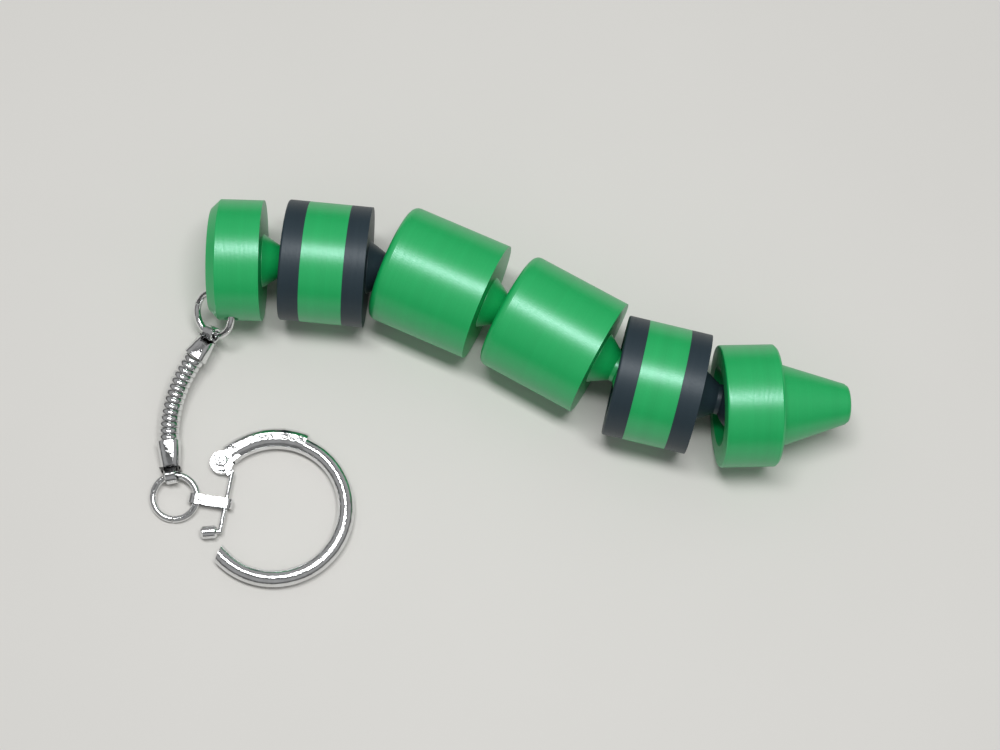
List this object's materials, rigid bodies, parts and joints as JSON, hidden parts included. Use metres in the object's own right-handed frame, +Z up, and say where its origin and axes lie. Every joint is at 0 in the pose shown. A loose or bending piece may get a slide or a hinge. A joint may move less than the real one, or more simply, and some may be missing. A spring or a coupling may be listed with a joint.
{
  "type": "articulated crayon key chain",
  "caption": "Jointed crayon of round segments on ball joints, with a snake chain and a snap key ring at its cap.",
  "frame": {"origin": "middle of the underside of the whole object's box, on the surface that it lies on", "axes": "+X along the crayon towards its tip, +Y away from the key ring, +Z up"},
  "size_m": [0.1106, 0.0668, 0.02],
  "materials": {
    "green_print": "silky green printed plastic with fine layer lines",
    "black_print": "satin blue-black printed plastic",
    "chromed_steel": "bright chrome plate on steel"
  },
  "bodies": {
    "cap_body": {"cap_segment": "green_print"},
    "ball_1_body": {"ball_1": "green_print"},
    "band_a_body": {"band_a_rear": "black_print", "band_a_core": "green_print", "band_a_front": "black_print"},
    "ball_2_body": {"ball_2": "black_print"},
    "middle_a_body": {"middle_segment_a": "green_print"},
    "ball_3_body": {"ball_3": "green_print"},
    "middle_b_body": {"middle_segment_b": "green_print"},
    "ball_4_body": {"ball_4": "green_print"},
    "band_b_body": {"band_b_rear": "black_print", "band_b_core": "green_print", "band_b_front": "black_print"},
    "ball_5_body": {"ball_5": "black_print"},
    "tip_body": {"tip_segment": "green_print"},
    "cap_ring_body": {"cap_jump_ring": "chromed_steel"},
    "upper_end_body": {"upper_crimp": "chromed_steel"},
    "link_01_body": {"chain_link_01": "chromed_steel"},
    "link_02_body": {"chain_link_02": "chromed_steel"},
    "link_03_body": {"chain_link_03": "chromed_steel"},
    "link_04_body": {"chain_link_04": "chromed_steel"},
    "link_05_body": {"chain_link_05": "chromed_steel"},
    "link_06_body": {"chain_link_06": "chromed_steel"},
    "link_07_body": {"chain_link_07": "chromed_steel"},
    "link_08_body": {"chain_link_08": "chromed_steel"},
    "link_09_body": {"chain_link_09": "chromed_steel"},
    "link_10_body": {"chain_link_10": "chromed_steel"},
    "link_11_body": {"chain_link_11": "chromed_steel"},
    "link_12_body": {"chain_link_12": "chromed_steel"},
    "link_13_body": {"chain_link_13": "chromed_steel"},
    "link_14_body": {"chain_link_14": "chromed_steel"},
    "lower_end_body": {"lower_crimp": "chromed_steel"},
    "swivel_ring_body": {"swivel_jump_ring": "chromed_steel"},
    "strap_body": {"gate_strap": "chromed_steel"},
    "gate_body": {"gate_lever": "chromed_steel", "gate_knob": "chromed_steel"},
    "key_ring_body": {"key_ring": "chromed_steel", "hinge_fork": "chromed_steel", "hinge_rivet": "chromed_steel"}
  },
  "joints": [
    {"name": "bend_1", "type": "hinge", "parent": "band_a_body", "child": "ball_1_body", "pos_m": [-0.03696, 0.01949, 0.01], "axis": [0, 0, -1], "range_deg": [-15.8, 24.2]},
    {"name": "twist_1", "type": "hinge", "parent": "ball_1_body", "child": "cap_body", "pos_m": [-0.03696, 0.01949, 0.01], "axis": [0.9617, 0.274, 0], "continuous": true},
    {"name": "bend_2", "type": "hinge", "parent": "middle_a_body", "child": "ball_2_body", "pos_m": [-0.01992, 0.02302, 0.01], "axis": [0, 0, -1], "range_deg": [-1.3, 38.7]},
    {"name": "twist_2", "type": "hinge", "parent": "ball_2_body", "child": "band_a_body", "pos_m": [-0.01992, 0.02302, 0.01], "axis": [0.9792, 0.2028, 0], "continuous": true},
    {"name": "twist_3", "type": "hinge", "parent": "middle_a_body", "child": "ball_3_body", "pos_m": [0.00072, 0.02048, 0.01], "axis": [0.9925, -0.1219, 0], "continuous": true},
    {"name": "bend_3", "type": "hinge", "parent": "ball_3_body", "child": "middle_b_body", "pos_m": [0.00072, 0.02048, 0.01], "axis": [0, 0, 1], "range_deg": [-14.6, 25.4]},
    {"name": "twist_4", "type": "hinge", "parent": "middle_b_body", "child": "ball_4_body", "pos_m": [0.02104, 0.01602, 0.01], "axis": [0.9767, -0.2147, 0], "continuous": true},
    {"name": "bend_4", "type": "hinge", "parent": "ball_4_body", "child": "band_b_body", "pos_m": [0.02104, 0.01602, 0.01], "axis": [0, 0, 1], "range_deg": [-35.7, 4.3]},
    {"name": "twist_5", "type": "hinge", "parent": "band_b_body", "child": "ball_5_body", "pos_m": [0.03841, 0.01702, 0.01], "axis": [0.9983, 0.0576, 0], "continuous": true},
    {"name": "bend_5", "type": "hinge", "parent": "ball_5_body", "child": "tip_body", "pos_m": [0.03841, 0.01702, 0.01], "axis": [0, 0, 1], "range_deg": [-35.1, 4.9]},
    {"name": "cap_ring_swing", "type": "hinge", "parent": "cap_body", "child": "cap_ring_body", "pos_m": [-0.04842, 0.00896, 0.00981], "axis": [0.8181, -0.575, 0], "range_deg": [-12, 12]},
    {"name": "upper_end_swing", "type": "hinge", "parent": "cap_ring_body", "child": "upper_end_body", "pos_m": [-0.04969, 0.004, 0.00503], "axis": [0.9118, -0.2087, 0.3536], "range_deg": [-12, 12]},
    {"name": "chain_hinge_01", "type": "hinge", "parent": "upper_end_body", "child": "link_01_body", "pos_m": [-0.05109, -0.00059, 0.00427], "axis": [-0.0518, -0.1693, 0.9842], "range_deg": [-5.5, 5.5]},
    {"name": "chain_hinge_02", "type": "hinge", "parent": "link_01_body", "child": "link_02_body", "pos_m": [-0.0514, -0.00157, 0.00408], "axis": [0.9697, -0.2443, 0], "range_deg": [-5.2, 5.2]},
    {"name": "chain_hinge_03", "type": "hinge", "parent": "link_02_body", "child": "link_03_body", "pos_m": [-0.05165, -0.00258, 0.00391], "axis": [0.0316, 0.1585, -0.9869], "range_deg": [-3.2, 8.8]},
    {"name": "chain_hinge_04", "type": "hinge", "parent": "link_03_body", "child": "link_04_body", "pos_m": [-0.05185, -0.00359, 0.00374], "axis": [-0.9892, 0.1464, 0], "range_deg": [-5.2, 5.2]},
    {"name": "chain_hinge_05", "type": "hinge", "parent": "link_04_body", "child": "link_05_body", "pos_m": [-0.052, -0.00462, 0.00358], "axis": [-0.0142, -0.1454, 0.9893], "range_deg": [-8.8, 3.2]},
    {"name": "chain_hinge_06", "type": "hinge", "parent": "link_05_body", "child": "link_06_body", "pos_m": [-0.0521, -0.00565, 0.00342], "axis": [0.9989, -0.0471, 0], "range_deg": [-5.2, 5.2]},
    {"name": "chain_hinge_07", "type": "hinge", "parent": "link_06_body", "child": "link_07_body", "pos_m": [-0.05215, -0.00669, 0.00328], "axis": [-0.0004, 0.1305, -0.9914], "range_deg": [-3.2, 8.8]},
    {"name": "chain_hinge_08", "type": "hinge", "parent": "link_07_body", "child": "link_08_body", "pos_m": [-0.05215, -0.00773, 0.00314], "axis": [-0.9986, -0.0527, 0], "range_deg": [-5.2, 5.2]},
    {"name": "chain_hinge_09", "type": "hinge", "parent": "link_08_body", "child": "link_09_body", "pos_m": [-0.05209, -0.00877, 0.00301], "axis": [0.0118, -0.1143, 0.9934], "range_deg": [-8.8, 3.2]},
    {"name": "chain_hinge_10", "type": "hinge", "parent": "link_09_body", "child": "link_10_body", "pos_m": [-0.05199, -0.00981, 0.00289], "axis": [0.9884, 0.152, 0], "range_deg": [-5.2, 5.2]},
    {"name": "chain_hinge_11", "type": "hinge", "parent": "link_10_body", "child": "link_11_body", "pos_m": [-0.05183, -0.01084, 0.00278], "axis": [-0.02, 0.0973, -0.9951], "range_deg": [-3.2, 8.8]},
    {"name": "chain_hinge_12", "type": "hinge", "parent": "link_11_body", "child": "link_12_body", "pos_m": [-0.05162, -0.01187, 0.00267], "axis": [-0.9683, -0.2497, 0], "range_deg": [-5.2, 5.2]},
    {"name": "chain_hinge_13", "type": "hinge", "parent": "link_12_body", "child": "link_13_body", "pos_m": [-0.05136, -0.01288, 0.00258], "axis": [0.0249, -0.0799, 0.9965], "range_deg": [-8.8, 3.2]},
    {"name": "chain_hinge_14", "type": "hinge", "parent": "link_13_body", "child": "link_14_body", "pos_m": [-0.05105, -0.01388, 0.00249], "axis": [0.9386, 0.345, 0], "range_deg": [-5.2, 5.2]},
    {"name": "chain_hinge_15", "type": "hinge", "parent": "link_14_body", "child": "lower_end_body", "pos_m": [-0.05069, -0.01486, 0.00241], "axis": [-0.0204, 0.0482, -0.9986], "range_deg": [-3.2, 8.8]},
    {"name": "swivel_ring_swing", "type": "hinge", "parent": "lower_end_body", "child": "swivel_ring_body", "pos_m": [-0.04844, -0.02016, 0.00211], "axis": [-0.887, -0.4537, -0.0857], "range_deg": [-15, 15]},
    {"name": "strap_slide", "type": "hinge", "parent": "swivel_ring_body", "child": "strap_body", "pos_m": [-0.04676, -0.0233, 0.00145], "axis": [0.0083, -0.2012, 0.9795], "range_deg": [-15, 15]},
    {"name": "key_ring_flip", "type": "hinge", "parent": "strap_body", "child": "gate_body", "pos_m": [-0.03846, -0.02192, 0.00156], "axis": [-0.1323, 0.9912, 0], "range_deg": [-60, 60]},
    {"name": "gate_opening", "type": "hinge", "parent": "gate_body", "child": "key_ring_body", "pos_m": [-0.04133, -0.01554, 0.00156], "axis": [0, 0, 1], "range_deg": [0, 55]}
  ]
}
